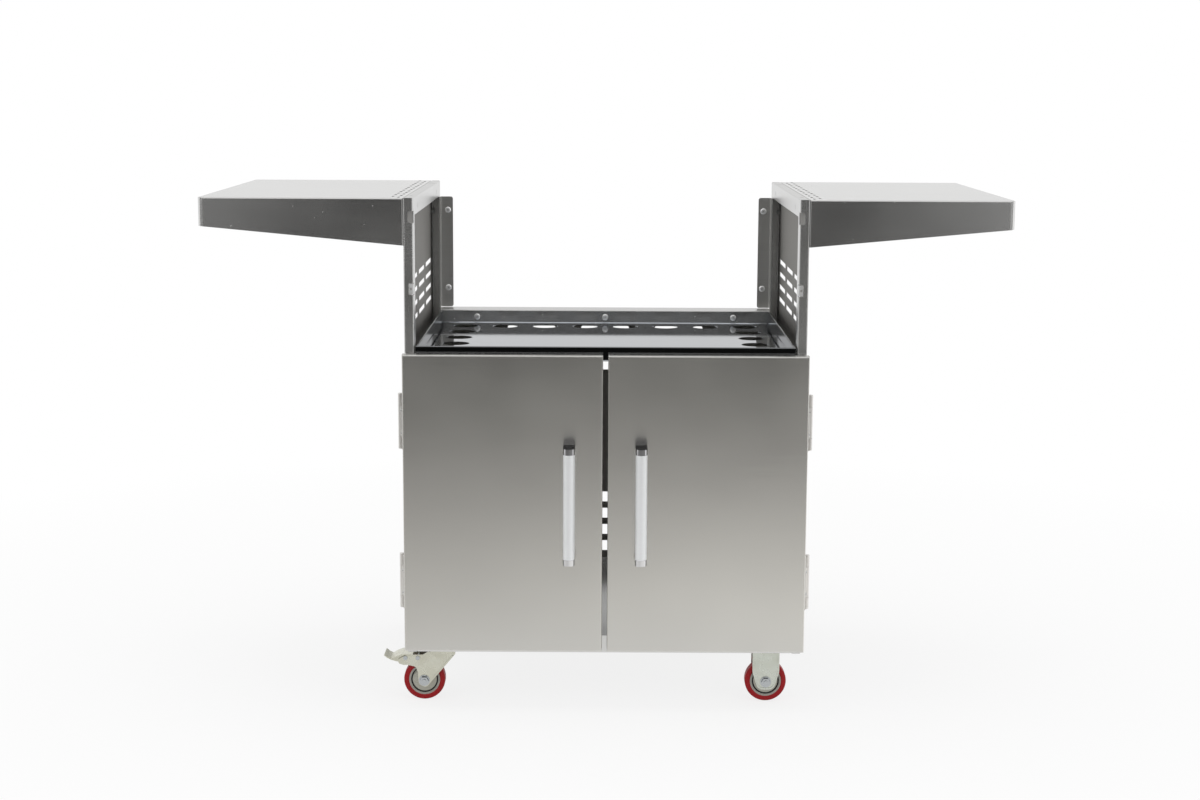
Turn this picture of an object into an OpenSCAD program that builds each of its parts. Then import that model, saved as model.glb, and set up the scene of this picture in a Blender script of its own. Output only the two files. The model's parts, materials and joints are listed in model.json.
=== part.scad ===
// Freestanding cart for a drop-in grill: folded stainless cabinet on four
// casters, two doors, a perforated heat tray and two side shelves.
// Millimetres, z up, floor at z = 0, front towards -y.

/* [Cart] */
// Height of the shelf and side panel tops above the floor
cart_h = 914; // [880:1:960]
// Width across the outer faces of the side panels
bay_w = 704; // [640:1:820]
// Depth of the side panels from front flange to rear flange
cabinet_d = 587.4; // [540:0.1:680]
// Thickness of the folded sheet
sheet_t = 1.2; // [1:0.1:1.5]
// Inside radius of the sheet bends
bend_r = 1.2; // [0.8:0.1:2]

/* [Side panels] */
// Width of the front, rear, top and bottom flanges
flange_w = 17.5; // [15:0.5:24]
// Depth of the return behind the front and rear flanges
return_d = 30; // [24:1:40]
// Height of the return under the top flange
top_return_h = 31; // [26:1:36]
// Length of one vent slot
vent_l = 118; // [80:1:130]
// Height of one vent slot
vent_h = 9; // [5:0.5:12]
// Distance from the rear of the cabinet to the middle of the last vent column
vent_inset = 99.5; // [96:0.5:110]
// Distance between vent columns
vent_pitch_y = 146; // [140:1:160]
// Distance between vent rows
vent_pitch_z = 25; // [18:1:30]
// Height of the lowest vent row above the floor
vent_z = 683; // [675:1:700]
// Number of vent columns
vent_columns = 3; // [1:1:3]
// Number of vent rows
vent_rows = 4; // [1:1:5]
// Width of the notches in the front flange
notch_w = 9; // [7:0.5:11]
// Height of the notches in the front flange
notch_h = 21; // [16:0.5:24]
// Depth of the notches into the return
notch_d = 11; // [6:0.5:14]
// Radius of the notch corners
notch_r = 3; // [1:0.5:4]
// Distance from the top of the side panel down to the upper notch's centre
upper_notch_drop = 33; // [24:1:50]
// Distance from the top of the side panel down to the lower notch's centre
lower_notch_drop = 158; // [130:1:180]

/* [Heat tray] */
// Height of the tray underside above the floor
tray_z = 630.5; // [600:0.5:640]
// Height of the tray walls
tray_wall_h = 26; // [20:0.5:32]
// Gap between the tray and each side panel return
tray_side_gap = 2.5; // [1:0.5:6]
// Distance from the tray's rear wall to the back of the cabinet
tray_rear_gap = 46; // [36:1:60]
// Diameter of the heat holes
heat_hole_d = 50; // [30:1:60]
// Distance between heat holes across the tray
heat_pitch_x = 79.4; // [70:0.1:90]
// Distance between heat holes along the tray's depth
heat_pitch_y = 87; // [75:1:95]
// Heat holes across the tray
heat_columns = 8; // [4:1:8]
// Heat holes along the depth
heat_rows = 6; // [3:1:6]

/* [Back and bottom] */
// Height of the lips around the bottom panel
lip_h = 32; // [20:1:40]
// Depth of the back panel's side flanges
back_flange_d = 25; // [18:1:28]
// Length of one back slot
back_slot_l = 97; // [60:1:110]
// Height of one back slot
back_slot_h = 21; // [12:1:24]
// Distance between back slot columns
back_pitch_x = 150; // [130:1:160]
// Distance between back slot rows
back_pitch_z = 34.4; // [28:0.1:38]
// Height of the lowest row of the lower slot group
lower_slots_z = 161.5; // [155:0.5:175]
// Height of the lowest row of the upper slot group
upper_slots_z = 540.8; // [520:0.1:545]

/* [Shelves] */
// Length of each shelf outwards from the side panel
shelf_l = 355; // [250:1:420]
// Depth of the shelf skirt at its outer end
skirt_outer_h = 50; // [40:1:60]
// Depth of the shelf skirt at its root
skirt_root_h = 82.5; // [65:0.5:100]
// Radius of the shelf's outer vertical corners
shelf_corner_r = 9; // [4:0.5:14]
// Length of one drain slot at the shelf root
drain_l = 17; // [10:1:20]
// Width of one drain slot
drain_w = 4.5; // [3:0.5:5.5]
// Distance between drain slots
drain_pitch = 47; // [40:1:50]
// Distance of the upper shelf bolts from the cabinet's front or rear
shelf_bolt_inset = 150; // [120:1:180]
// Distance of the upper shelf bolts below the shelf top
shelf_bolt_drop = 18; // [14:1:24]
// Height of the lower shelf bolts above the lower edge of the skirt
shelf_bolt_rise = 22; // [16:1:30]

/* [Doors] */
// Thickness of a door
door_t = 20; // [16:0.5:26]
// Gap between a closed door and the cabinet front
door_gap = 2.6; // [2:0.1:4]
// Gap between the two doors
door_split = 9; // [4:0.5:12]
// Distance that a door reaches past the side panel
door_overhang = 2.8; // [1:0.1:4]
// Height of the door's lower edge above the floor
door_z = 112; // [106:1:130]
// Height of one door
door_h = 531.6; // [480:0.1:540]
// Distance from the door top to the upper hinge's centre
hinge_top = 119.5; // [90:0.5:160]
// Distance from the door bottom to the lower hinge's centre
hinge_bottom = 125; // [90:0.5:160]
// Distance of each magnetic catch from the centre of the cart
catch_x = 60; // [50:1:120]
// Width of a magnetic catch
catch_w = 46; // [36:1:60]
// Depth of a magnetic catch behind the cabinet front
catch_d = 20; // [16:1:28]

/* [Hinges] */
// Length of one hinge
hinge_l = 96; // [70:1:120]
// Length of each outer knuckle
outer_knuckle_l = 20; // [14:1:24]
// Radius of the hinge barrel
barrel_r = 4.3; // [3.8:0.1:5]
// Radius of the hinge pin
pin_r = 2.4; // [2:0.1:2.6]
// Thickness of the hinge leaves
leaf_t = 1.5; // [1.2:0.1:1.8]
// Width of each hinge leaf from barrel to free edge
leaf_w = 16; // [13:0.5:18]

/* [Handles] */
// Diameter of the handle bar
bar_d = 20.5; // [16:0.5:26]
// Overall length of the handle
handle_l = 207; // [150:1:320]
// Distance that the handle stands out from the door
handle_reach = 45; // [36:1:60]
// Distance of each handle from the centre of the cart
handle_x = 63; // [40:1:120]
// Height of the handle's lower end above the floor
handle_z = 279; // [200:1:300]
// Height of each end piece of a handle
handle_end_h = 10.5; // [8:0.5:16]

/* [Casters] */
// Overall height of the casters
caster_h = 104; // [100:1:110]
// Diameter of the wheels
wheel_d = 75; // [68:1:77]
// Width of the treads
wheel_w = 24; // [20:0.5:26]
// Thickness of the tread on its hub
tread_t = 9.3; // [7:0.1:11]
// Distance of each caster from the outer face of the side panel
caster_side_inset = 58; // [58:1:110]
// Distance of each caster from the cabinet's front or rear
caster_inset = 61.5; // [50:0.5:90]
// Distance from the swivel axis to the wheel axle
trail = 32.5; // [28:0.5:36]
// Diameter of the wheel axle
axle_d = 8; // [7:0.5:9]
// Thickness of the stamped fork plate
fork_t = 2.5; // [2:0.1:3]
// Radius of the balls in the swivel head
ball_r = 3; // [2.5:0.1:3.2]
// Number of balls in the swivel head
balls = 18; // [8:1:20]

/* [Hidden] */

$fn = 48;
eps = 0.01;
left = -1;
right = 1;

// Finishes
steel = [0.68, 0.67, 0.64];
bright_steel = [0.80, 0.80, 0.79];
zinc = [0.72, 0.73, 0.66];
red_tread = [0.60, 0.09, 0.11];
grey_plastic = [0.55, 0.54, 0.50];
dark_plastic = [0.12, 0.12, 0.12];

// Clearances
run_fit = 0.09;      // radial, between a shaft and its bore
move_gap = 0.3;      // between pieces that move past each other
knuckle_gap = 0.4;   // between neighbouring hinge knuckles

// Depth stations, from the front of the handles to the rear of the cabinet
total_d = handle_reach + door_t + door_gap + cabinet_d;
door_y = -total_d / 2 + handle_reach;
cab_y = door_y + door_t + door_gap;
rear_y = total_d / 2;
deck_z = caster_h;

// Side panel stations, on the +x side
skin_x = bay_w / 2;
inner_x = skin_x - flange_w;
upper_notch_z = cart_h - upper_notch_drop;
lower_notch_z = cart_h - lower_notch_drop;

// Heat tray stations
tray_half_w = inner_x - tray_side_gap;
tray_back_y = rear_y - tray_rear_gap;
tray_top = tray_z + tray_wall_h;
tray_flange_z = tray_top + 1.5;
hem_w = 3.4;
hem_h = 7;

// Door stations
door_outer_x = skin_x + door_overhang;
door_w = door_outer_x - door_split / 2;
door_top = door_z + door_h;
hinge_zs = [door_z + hinge_bottom, door_top - hinge_top];
hinge_x = door_outer_x + barrel_r + 0.4;
hinge_y = door_y + door_t + 1;

// Pan head screws
head_r = 6.2;
head_h = 3;
shank_r = 2.5;

// Flat heads of the door and cabinet screws
flat_head_r = 4.4;
flat_head_h = 1.8;

// Smooth steps in rounded corners and in sheet bends
corner_steps = 6;
bend_steps = 3;

function unit(v) = v / norm(v);
function left_of(v) = [-v[1], v[0]];
function signed_turn(a, b) = atan2(a[0] * b[1] - a[1] * b[0], a * b);

// Closed outline through corners [x, y, radius], each one rounded by its radius
function rounded(c, steps = corner_steps) = [
    for (i = [0 : len(c) - 1])
        let (n = len(c),
             p = [c[i][0], c[i][1]],
             back = [c[(i + n - 1) % n][0], c[(i + n - 1) % n][1]],
             ahead = [c[(i + 1) % n][0], c[(i + 1) % n][1]],
             u = unit(back - p),
             v = unit(ahead - p),
             half = acos(u * v) / 2,
             r = c[i][2],
             mid = p + (r > 0 ? unit(u + v) * r / sin(half) : [0, 0]),
             from = p + u * r / tan(half) - mid,
             sweep = r > 0 ? signed_turn(from, p + v * r / tan(half) - mid) : 0,
             start = atan2(from[1], from[0]))
        for (k = [0 : (r > 0 ? steps : 0)])
            r > 0 ? mid + r * [cos(start + sweep * k / steps), sin(start + sweep * k / steps)] : p
];

// Outline of a strip of sheet folded along a path. The path is one face of the
// strip, the sheet lies on its left, and r is the inside radius of every bend.
function fold_face(path, t, r, offset) = [
    for (i = [0 : len(path) - 1])
        let (last = len(path) - 1,
             before = unit(path[max(i, 1)] - path[max(i, 1) - 1]),
             after = unit(path[min(i, last - 1) + 1] - path[min(i, last - 1)]),
             a = left_of(before),
             b = left_of(after),
             p = path[i] + offset * (a + b) / (1 + a * b),
             bent = i > 0 && i < last,
             radius = !bent ? 0 : signed_turn(before, after) > 0 ? r + t - offset : r + offset)
        [p[0], p[1], radius]
];
function folded(path, t = sheet_t, r = bend_r) =
    let (near = fold_face(path, t, r, 0), far = fold_face(path, t, r, t))
    rounded(concat(near, [for (i = [len(far) - 1 : -1 : 0]) far[i]]), bend_steps);

// Rectangle between two corners with one radius per corner, counter-clockwise
function rounded_box(lo, hi, radii, steps = corner_steps) = rounded([
    [lo[0], lo[1], radii[0]], [hi[0], lo[1], radii[1]],
    [hi[0], hi[1], radii[2]], [lo[0], hi[1], radii[3]]], steps);

module along_x(x, length) translate([x, 0, 0]) rotate([90, 0, 90]) linear_extrude(length) children();
module along_y(y, length) translate([0, y + length, 0]) rotate([90, 0, 0]) linear_extrude(length) children();
module along_z(z, length) translate([0, 0, z]) linear_extrude(length) children();

module rod_x(x, y, z, r, length) translate([x, y, z]) rotate([0, 90, 0]) cylinder(r = r, h = length);
module rod_y(x, y, z, r, length) translate([x, y + length, z]) rotate([90, 0, 0]) cylinder(r = r, h = length);
module rod_z(x, y, z, r, length) translate([x, y, z]) cylinder(r = r, h = length);

module box(lo, hi) translate(lo) cube(hi - lo);

// Slot with round ends: length and width in the plane, centred
module slot(length, width) {
    reach = (length - width) / 2;
    square([2 * reach, width], center = true);
    for (end = [-reach, reach]) translate([end, 0]) circle(r = width / 2);
}

module on_side(side) { if (side < 0) mirror([1, 0, 0]) children(); else children(); }

// Pan head screw along +y: head in front of y, shank behind it
module pan_screw_y(x, y, z, grip) {
    translate([x, y, z]) rotate([90, 0, 0]) rotate_extrude()
        polygon(rounded([[0, 0, 0], [head_r, 0, 0], [head_r, head_h, head_h * 0.75], [0, head_h, 0]]));
    rod_y(x, y - eps, z, shank_r, grip);
}

// Side panel

// Closed solid in the outer shape of the side panel, drawn in by an offset
module side_panel_block(inset) {
    r = bend_r + sheet_t - inset;
    intersection() {
        along_z(deck_z + inset, cart_h - deck_z - 2 * inset)
            polygon(rounded_box([inner_x + inset, cab_y + inset], [skin_x - inset, rear_y - inset],
                [r, r, r, r], bend_steps));
        along_y(cab_y - eps, cabinet_d + 2 * eps)
            polygon(rounded_box([inner_x + inset, deck_z + inset], [skin_x - inset, cart_h - inset],
                [r, r, r, r], bend_steps));
    }
}

module vent_slots() {
    corner = vent_h / 6;
    for (column = [0 : vent_columns - 1], row = [0 : vent_rows - 1])
        translate([skin_x - flange_w / 2, rear_y - vent_inset - column * vent_pitch_y,
                vent_z + row * vent_pitch_z])
            rotate([90, 0, 90]) linear_extrude(flange_w) polygon(rounded_box(
                [-vent_l, -vent_h] / 2, [vent_l, vent_h] / 2, [corner, corner, corner, corner]));
}

// Notch through the corner between the front flange and its return
module flange_notch(z) {
    along_y(cab_y - 1, notch_d + 1)
        polygon(rounded_box([inner_x - 1, z - notch_h / 2], [inner_x + notch_w, z + notch_h / 2],
            [0, notch_r, notch_r, 0]));
}

function frame_screw_spots() = [for (z = hinge_zs, dz = [-1, 1] * (hinge_l / 2 - outer_knuckle_l - 7))
    [hinge_y + leaf_w - 5, z + dz]];

module shelf_bolt_holes() {
    for (p = shelf_bolt_spots()) rod_x(skin_x - 2 * sheet_t, p[0], p[1], shank_r, 5 * sheet_t);
}
function shelf_bolt_spots() = [
    [cab_y + flange_w, cart_h - skirt_root_h + shelf_bolt_rise],
    [cab_y + shelf_bolt_inset, cart_h - shelf_bolt_drop],
    [rear_y - shelf_bolt_inset, cart_h - shelf_bolt_drop],
    [rear_y - flange_w, cart_h - skirt_root_h + shelf_bolt_rise]];

// Small slots in the top of the side panel: two upright ones in the return,
// and a short and a long seating slot in the flange
return_slot_inset = 90;
return_slot_drop = 18;
return_slot = [9, 3.2];
front_seat = [68, 8];    // distance from the front, length
rear_seat = [102, 13];   // distance from the rear, length
seat_w = 4;

module side_panel(side) {
    on_side(side) difference() {
        side_panel_block(0);
        side_panel_block(sheet_t);
        // window that leaves the returns on the inboard side
        box([inner_x - 1, cab_y + return_d, deck_z + sheet_t],
            [inner_x + sheet_t + 1, rear_y - return_d, cart_h - top_return_h]);
        for (y = [cab_y + return_slot_inset, rear_y - return_slot_inset])
            translate([inner_x - 1, y, cart_h - return_slot_drop]) rotate([90, 0, 90])
                linear_extrude(sheet_t + 2) rotate(90) slot(return_slot[0], return_slot[1]);
        for (seat = [[cab_y + front_seat[0], front_seat[1]], [rear_y - rear_seat[0], rear_seat[1]]])
            translate([inner_x + flange_w / 2, seat[0], cart_h - sheet_t - 1]) linear_extrude(sheet_t + 2)
                slot(seat[1], seat_w);
        vent_slots();
        flange_notch(upper_notch_z);
        flange_notch(lower_notch_z);
        shelf_bolt_holes();
        for (p = frame_screw_spots()) rod_x(skin_x - 2 * sheet_t, p[0], p[1], shank_r, 4 * sheet_t);
        for (p = back_screw_spots()) rod_x(inner_x - 1, p[0], p[1], shank_r, sheet_t + 2);
    }
}

module left_side_panel() { color(steel) side_panel(left); }
module right_side_panel() { color(steel) side_panel(right); }

// Clip nuts in the lower notches of the front flanges
nut_bore_r = 2.1;
nut_barrel_r = 3.4;
nut_l = 6;

module clip_nuts() {
    nut_x = inner_x + notch_w / 2 + 0.6;
    clip_t = 1;
    // keeps the square corners of the clip inside the rounded notch
    corner_gap = notch_r * (1 - sqrt(0.5)) + move_gap;
    color(bright_steel) for (side = [left, right]) on_side(side) difference() {
        union() {
            along_z(lower_notch_z - notch_h / 2 + corner_gap, notch_h - 2 * corner_gap) polygon(folded([
                [inner_x + 0.2, cab_y + notch_d - move_gap], [inner_x + 0.2, cab_y + 0.2],
                [inner_x + notch_w - corner_gap, cab_y + 0.2]], clip_t, 1));
            rod_y(nut_x, cab_y + 0.2 + clip_t / 2, lower_notch_z, nut_barrel_r, nut_l - clip_t / 2);
        }
        rod_y(nut_x, cab_y - 1, lower_notch_z, nut_bore_r, nut_l + 2);
    }
}

// Back panel: a pan whose side flanges fasten to the rear returns

back_z = deck_z + lip_h;
back_top = tray_flange_z - sheet_t;

module back_panel_block(inset) {
    r = bend_r + sheet_t - inset;
    along_z(back_z, back_top - back_z)
        polygon(rounded_box([-inner_x + inset, rear_y - back_flange_d - (inset > 0 ? 1 : 0)],
            [inner_x - inset, rear_y - inset], [0, 0, r, r], bend_steps));
}

module back_slots(z, rows) {
    for (column = [-1 : 1], row = [0 : rows - 1])
        translate([column * back_pitch_x, rear_y + 1, z + row * back_pitch_z])
            rotate([90, 0, 0]) linear_extrude(sheet_t + 2) polygon(rounded_box(
                [-back_slot_l, -back_slot_h] / 2, [back_slot_l, back_slot_h] / 2, [3, 3, 3, 3]));
}

module back_panel() {
    color(steel) difference() {
        back_panel_block(0);
        back_panel_block(sheet_t);
        back_slots(lower_slots_z, 4);
        back_slots(upper_slots_z, 3);
        for (side = [left, right], p = back_screw_spots())
            rod_x(side * inner_x - 3, p[0], p[1], shank_r, 6);
    }
}
function back_screw_spots() = [for (z = [back_z + 40, (back_z + back_top) / 2, back_top - 40])
    [rear_y - back_flange_d / 2, z]];

// Bottom panel: a pan with lips on all four sides, bolted to the casters

module bottom_panel_block(inset) {
    r = bend_r + sheet_t - inset;
    top = deck_z + lip_h + (inset > 0 ? 1 : 0);
    intersection() {
        along_y(cab_y + inset, cabinet_d - 2 * inset)
            polygon(rounded_box([-inner_x + inset, deck_z + inset], [inner_x - inset, top],
                [r, r, 0, 0], bend_steps));
        along_x(-inner_x, 2 * inner_x)
            polygon(rounded_box([cab_y + inset, deck_z + inset], [rear_y - inset, top],
                [r, r, 0, 0], bend_steps));
    }
}

module bottom_panel() {
    color(steel) difference() {
        bottom_panel_block(0);
        bottom_panel_block(sheet_t);
        for (c = caster_spots(), p = plate_bolt_spots()) rod_z(c[0] + p[0], c[1] + p[1], deck_z - 1, 3.2, 4);
    }
}

// Heat tray: polished floor with a ring of heat holes, and four walls folded up from it

tray_fold_z = tray_z + bend_r + sheet_t;
corner_seam = 0.2;
hem_r = 1.4;

module tray_block(inset) {
    r = bend_r + sheet_t - inset;
    top = tray_fold_z + (inset > 0 ? 1 : 0);
    half = tray_half_w - inset;
    intersection() {
        along_y(cab_y + inset, tray_back_y - cab_y - 2 * inset)
            polygon(rounded_box([-half, tray_z + inset], [half, top], [r, r, 0, 0], bend_steps));
        along_x(-half, 2 * half)
            polygon(rounded_box([cab_y + inset, tray_z + inset], [tray_back_y - inset, top],
                [r, r, 0, 0], bend_steps));
    }
}

module heat_tray() {
    ring_mid_y = (cab_y + tray_back_y) / 2 - 5;
    ring_x = -(heat_columns - 1) / 2 * heat_pitch_x;
    ring_y = ring_mid_y - (heat_rows - 1) / 2 * heat_pitch_y;
    color(bright_steel) difference() {
        tray_block(0);
        tray_block(sheet_t);
        for (i = [0 : heat_columns - 1], j = [0 : heat_rows - 1])
            if (i == 0 || j == 0 || i == heat_columns - 1 || j == heat_rows - 1)
                rod_z(ring_x + i * heat_pitch_x, ring_y + j * heat_pitch_y, tray_z - 1,
                    heat_hole_d / 2, sheet_t + 2);
    }
}

function tray_screw_xs() = [for (k = [-1 : 1]) k * tray_half_w * 0.777];

// Wall above the fold with a closed hem along its top; inward is the side the hem lies on
function hemmed_wall(face, inward) = rounded([
    [face, tray_fold_z, 0], [face, tray_top, hem_r],
    [face + inward * hem_w, tray_top, hem_r], [face + inward * hem_w, tray_top - hem_h, 0],
    [face + inward * sheet_t, tray_top - hem_h, 0], [face + inward * sheet_t, tray_fold_z, 0]],
    bend_steps);

// The walls meet at open seams, and the rear one runs on into a flange over the back panel
module tray_walls() {
    side_y = cab_y + hem_w + corner_seam;
    color(bright_steel) {
        for (side = [left, right]) on_side(side)
            along_y(side_y, tray_back_y - sheet_t - corner_seam - side_y)
                polygon(hemmed_wall(tray_half_w, -1));
        along_x(-tray_half_w, 2 * tray_half_w) polygon(hemmed_wall(cab_y, 1));
        difference() {
            along_x(-tray_half_w, 2 * tray_half_w) polygon(folded([[tray_back_y, tray_fold_z],
                [tray_back_y, tray_flange_z - sheet_t], [rear_y, tray_flange_z - sheet_t]]));
            for (x = tray_screw_xs()) rod_y(x, tray_back_y - 3, tray_z + tray_wall_h / 2, shank_r, 6);
        }
    }
}

// Angles that carry the tray: two on the side panel skins, one on the back panel

rail_h = 22;
rail_t = 1.5;
rail_overlap = 12;
rear_rail_inset = 30;

module tray_rails() {
    color(steel) for (side = [left, right]) on_side(side)
        along_y(cab_y + return_d + 4, cabinet_d - 2 * return_d - 30) polygon(folded([
            [skin_x - sheet_t, tray_z - rail_h], [skin_x - sheet_t, tray_z],
            [tray_half_w - rail_overlap, tray_z]], rail_t));
}

module rear_tray_rail() {
    color(steel) difference() {
        along_x(-tray_half_w + rear_rail_inset, 2 * (tray_half_w - rear_rail_inset)) polygon(folded([
            [tray_back_y, tray_flange_z - sheet_t - bend_r - 1], [tray_back_y, tray_z + 2],
            [rear_y - sheet_t, tray_z + 2]], rail_t));
        for (x = tray_screw_xs()) rod_y(x, tray_back_y - 1, tray_z + tray_wall_h / 2, shank_r, rail_t + 2);
    }
}

// Shelves

module shelf_block(inset) {
    r = bend_r + sheet_t - inset;
    end_x = skin_x + shelf_l - inset;
    drop = inset > 0 ? 1 : 0;
    intersection() {
        along_y(cab_y + inset, cabinet_d - 2 * inset) polygon(rounded([
            [skin_x + inset, cart_h - inset, 0], [skin_x + inset, cart_h - skirt_root_h - drop, 0],
            [end_x, cart_h - skirt_outer_h - drop, 0], [end_x, cart_h - inset, r]], bend_steps));
        along_z(cart_h - skirt_root_h - 2, skirt_root_h + 2)
            polygon(rounded_box([skin_x + inset, cab_y + inset], [end_x, rear_y - inset],
                [r, shelf_corner_r - inset, shelf_corner_r - inset, r]));
        along_x(skin_x, shelf_l)
            polygon(rounded_box([cab_y + inset, cart_h - skirt_root_h - 2], [rear_y - inset, cart_h - inset],
                [0, 0, r, r], bend_steps));
    }
}

module drain_slots() {
    for (row = [0, 1], k = [0 : floor((cabinet_d - 60) / drain_pitch)])
        translate([skin_x + 9 + 12 * row, cab_y + 22 + drain_pitch * (k + row / 2), cart_h - sheet_t - 1])
            linear_extrude(sheet_t + 2) rotate(90) slot(drain_l, drain_w);
}

module shelf(side) {
    on_side(side) difference() {
        shelf_block(0);
        shelf_block(sheet_t);
        drain_slots();
        shelf_bolt_holes();
    }
}

module left_shelf() { color(steel) shelf(left); }
module right_shelf() { color(steel) shelf(right); }

// Channel under each shelf from the front skirt to the rear skirt
module shelf_braces() {
    brace_w = 70;
    brace_h = 14;
    brim_w = 14;
    brace_x = skin_x + shelf_l / 2;
    color(steel) for (side = [left, right]) on_side(side)
        along_y(cab_y + sheet_t + bend_r, cabinet_d - 2 * (sheet_t + bend_r)) polygon(folded([
            [brace_x + brace_w / 2 + brim_w, cart_h - sheet_t], [brace_x + brace_w / 2, cart_h - sheet_t],
            [brace_x + brace_w / 2, cart_h - brace_h], [brace_x - brace_w / 2, cart_h - brace_h],
            [brace_x - brace_w / 2, cart_h - sheet_t], [brace_x - brace_w / 2 - brim_w, cart_h - sheet_t]]));
}

module shelf_bolts() {
    hex_r = 5.2;
    head_t = 4;
    nut_t = 4.5;
    color(zinc) for (side = [left, right], p = shelf_bolt_spots()) on_side(side) {
        translate([skin_x - sheet_t - head_t, p[0], p[1]]) rotate([0, 90, 0])
            cylinder(r = hex_r, h = head_t, $fn = 6);
        rod_x(skin_x - sheet_t - eps, p[0], p[1], shank_r, 2 * sheet_t + nut_t + 3);
        translate([skin_x + sheet_t, p[0], p[1]]) rotate([0, 90, 0]) cylinder(r = hex_r, h = nut_t, $fn = 6);
    }
}

// Rear brackets above the tray, one on each rear return

bracket_t = 1.5;
bracket_y = rear_y - 4.5;
bracket_lo = tray_flange_z + 1;
bracket_hi = cart_h - top_return_h - 1;
bracket_x = inner_x - 26;

function bracket_screw_zs() = [bracket_lo + 39, bracket_hi - 27];

module rear_brackets() {
    color(steel) for (side = [left, right]) on_side(side) difference() {
        along_z(bracket_lo, bracket_hi - bracket_lo) polygon(folded([
            [inner_x, rear_y - back_flange_d], [inner_x, bracket_y + bracket_t],
            [bracket_x, bracket_y + bracket_t]], bracket_t));
        // rounded inboard corners
        difference() {
            box([bracket_x - 1, bracket_y - 1, bracket_lo - 1],
                [bracket_x + 12, bracket_y + 3, bracket_hi + 1]);
            along_y(bracket_y - 2, 6)
                polygon(rounded_box([bracket_x, bracket_lo], [bracket_x + 20, bracket_hi], [4.5, 0, 0, 4.5]));
        }
        for (z = bracket_screw_zs()) rod_y(bracket_x + 10, bracket_y - 1, z, shank_r, 4);
    }
}

module pan_head_screws() {
    color(bright_steel) {
        for (x = tray_screw_xs())
            pan_screw_y(x, tray_back_y - sheet_t, tray_z + tray_wall_h / 2, sheet_t + rail_t + 4);
        for (side = [left, right], z = bracket_screw_zs())
            pan_screw_y(side * (bracket_x + 10), bracket_y, z, 4);
    }
}

// Doors

module door_block(inset) {
    r = bend_r + sheet_t - inset;
    back = door_y + door_t + (inset > 0 ? 1 : 0);
    intersection() {
        along_z(door_z + inset, door_h - 2 * inset)
            polygon(rounded_box([door_split / 2 + inset, door_y + inset], [door_outer_x - inset, back],
                [r, r, 0, 0], bend_steps));
        along_x(door_split / 2, door_w)
            polygon(rounded_box([door_y + inset, door_z + inset], [back, door_top - inset],
                [r, 0, 0, r], bend_steps));
    }
}

bar_y = door_y - handle_reach + bar_d / 2;
bar_edge_r = 0.6;
post_screw_l = 12;

function post_zs() = [handle_z + handle_end_h / 2, handle_z + handle_l - handle_end_h / 2];

module door_skin(side) {
    on_side(side) difference() {
        door_block(0);
        door_block(sheet_t);
        for (z = post_zs()) rod_y(handle_x, door_y - 1, z, shank_r, sheet_t + 2);
    }
}

// Inner pan that closes the back of the door, nested in the skin's flanges
module door_liner(side) {
    liner_d = 13;
    lo = [door_split / 2 + sheet_t, door_y + door_t - liner_d, door_z + sheet_t];
    hi = [door_outer_x - sheet_t, door_y + door_t, door_top - sheet_t];
    on_side(side) difference() {
        box(lo, hi);
        box(lo + [sheet_t, -1, sheet_t], hi - [sheet_t, sheet_t, sheet_t]);
        for (z = post_zs()) rod_y(handle_x, door_y + door_t - sheet_t - 1, z, shank_r, sheet_t + 2);
    }
}

// Tube between the two end pieces, eased where it meets them
module handle_bar(side) {
    r = bar_d / 2;
    half = handle_l / 2 - handle_end_h;
    translate([side * handle_x, bar_y, handle_z + handle_l / 2]) rotate_extrude() polygon(rounded([
        [0, -half, 0], [r, -half, bar_edge_r], [r, half, bar_edge_r], [0, half, 0]], 2));
}

// End pieces: flat blocks, round in front like the bar and straight back to the door
module handle_posts(side) {
    x = side * handle_x;
    r = bar_d / 2;
    for (z = post_zs()) difference() {
        along_z(z - handle_end_h / 2, handle_end_h) {
            translate([x, bar_y]) circle(r = r);
            translate([x - r, bar_y]) square([bar_d, door_y - bar_y]);
        }
        rod_y(x, door_y - post_screw_l, z, shank_r, post_screw_l + 1);
    }
}

module door_screws(side) {
    leaf_head_r = 3;
    for (z = post_zs()) {
        rod_y(side * handle_x, door_y + door_t, z, flat_head_r, flat_head_h);
        rod_y(side * handle_x, door_y - post_screw_l, z, shank_r, door_t + post_screw_l + eps);
    }
    for (z = hinge_zs, dz = [-1, 1] * (hinge_l / 2 - outer_knuckle_l - 8))
        on_side(side) rod_x(door_outer_x + leaf_t, hinge_y - leaf_w * 0.62, z + dz, leaf_head_r, flat_head_h);
}

// Magnetic catches under the tray and their strike plates on the liners

catch_h = 14;
catch_z = tray_z - catch_h;
strike_t = 1.4;
strike_w = 36;

module strike_plate(side) {
    on_side(side) box([catch_x - strike_w / 2, door_y + door_t, catch_z + 1],
        [catch_x + strike_w / 2, door_y + door_t + strike_t, tray_z - 1]);
}

module door_catches() {
    magnet_y = door_y + door_t + strike_t + move_gap;
    color(dark_plastic) for (side = [left, right]) on_side(side) difference() {
        box([catch_x - catch_w / 2, magnet_y, catch_z], [catch_x + catch_w / 2, cab_y + catch_d, tray_z]);
        for (z = [catch_z + catch_h * 0.3, catch_z + catch_h * 0.7])
            box([catch_x - catch_w / 2 + 6, magnet_y - 1, z - 0.8],
                [catch_x + catch_w / 2 - 6, magnet_y + 1, z + 0.8]);
    }
}

// Hinges

module knuckle(z, length, x = hinge_x, y = hinge_y) {
    difference() {
        rod_z(x, y, z, barrel_r, length);
        rod_z(x, y, z - 1, pin_r + run_fit, length + 2);
    }
}

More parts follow.
